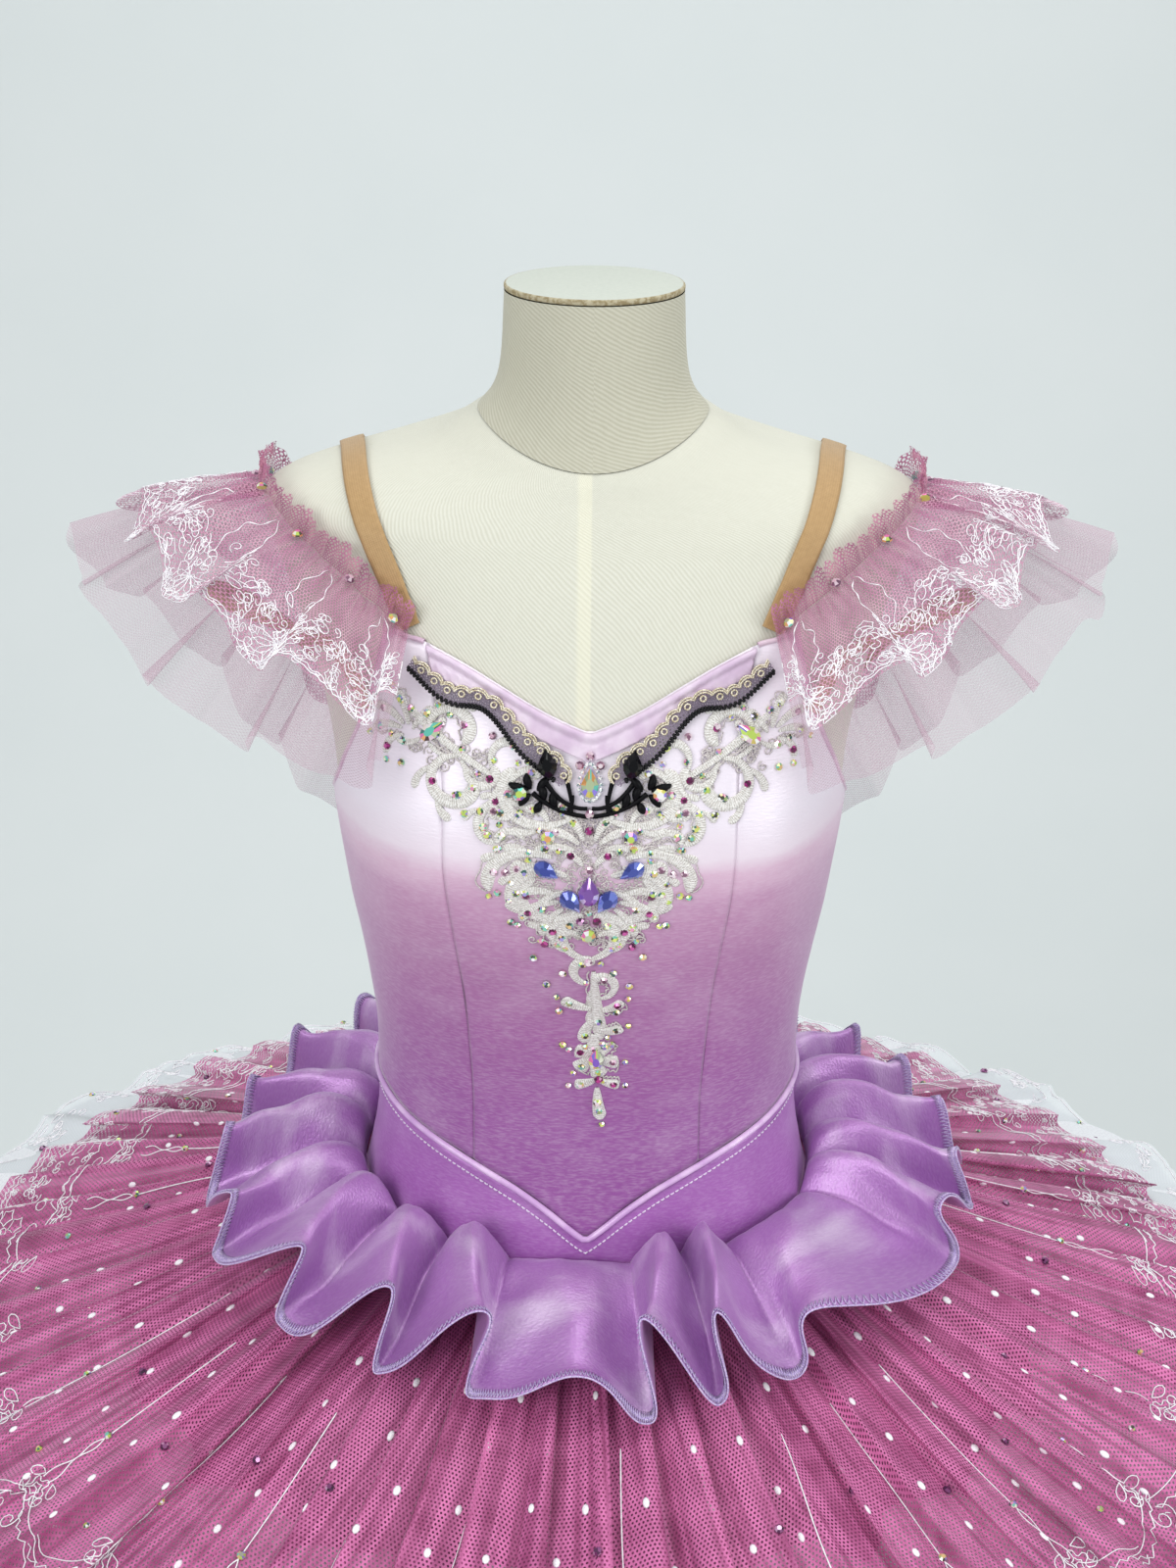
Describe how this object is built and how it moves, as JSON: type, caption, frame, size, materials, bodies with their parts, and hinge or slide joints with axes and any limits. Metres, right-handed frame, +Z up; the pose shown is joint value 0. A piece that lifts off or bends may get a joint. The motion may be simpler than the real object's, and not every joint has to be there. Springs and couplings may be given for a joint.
{
  "type": "ballet tutu on a dress form",
  "caption": "Classical ballet tutu with a boned satin bodice, basque, satin ruffle, embroidered net skirt and off-shoulder frills, worn by a limbless dress form on a stand.",
  "frame": {"origin": "centre of the stand's flat underside, on the floor", "axes": "+Z up, -Y towards the front of the bodice, +X towards the wearer's left"},
  "size_m": [1.1204, 1.1204, 1.4601],
  "materials": {
    "linen": "fine twill linen, matt",
    "cap_cloth": "linen over a flat disc",
    "stand_metal": "pale enamel, satin",
    "ombre_satin": "heavy crepe-back satin, dip dyed from pale lilac down to mauve",
    "mauve_satin": "heavy satin, mauve",
    "ruffle_satin": "heavy satin, mauve, overlocked edge",
    "piping_satin": "satin piping",
    "neck_satin": "pale pink satin band",
    "ivory_lace": "corded ivory embroidery",
    "black_lace": "black corded lace with a gold scalloped edge",
    "crystal": "foiled cut crystal with a rainbow coating",
    "raspberry_lace": "raspberry net, embroidered in white",
    "pink_tulle": "plain soft tulle",
    "white_lace": "white net lace, scalloped edge",
    "skirt_net": "stiff pale net",
    "tan_elastic": "flat woven elastic, tan"
  },
  "bodies": {
    "root": {"applique_stem": "ivory_lace", "applique_wing_left": "ivory_lace", "applique_wing_right": "ivory_lace", "arm_elastic_left": "tan_elastic", "arm_elastic_right": "tan_elastic", "basque_back_left": "mauve_satin", "basque_back_right": "mauve_satin", "basque_front": "mauve_satin", "black_lace_left": "black_lace", "black_lace_right": "black_lace", "bodice_back_left": "ombre_satin", "bodice_back_right": "ombre_satin", "bodice_centre_front": "ombre_satin", "bodice_side_back_left": "ombre_satin", "bodice_side_back_right": "ombre_satin", "bodice_side_front_left": "ombre_satin", "bodice_side_front_right": "ombre_satin", "brief_back_left": "mauve_satin", "brief_back_right": "mauve_satin", "brief_front": "mauve_satin", "centre_jewel": "crystal", "form_foot": "stand_metal", "form_neck_cap": "cap_cloth", "form_pole": "stand_metal", "form_torso": "linen", "neckline_band": "neck_satin", "peplum_ruffle": "ruffle_satin", "skirt_plate_net": "skirt_net", "skirt_top_lace": "raspberry_lace", "skirt_under_net_a": "skirt_net", "skirt_under_net_b": "skirt_net", "skirt_white_lace": "white_lace", "sleeve_lace_left": "raspberry_lace", "sleeve_lace_right": "raspberry_lace", "sleeve_tulle_left": "pink_tulle", "sleeve_tulle_right": "pink_tulle", "strap_left": "tan_elastic", "strap_right": "tan_elastic", "waist_piping": "piping_satin"}
  },
  "joints": []
}
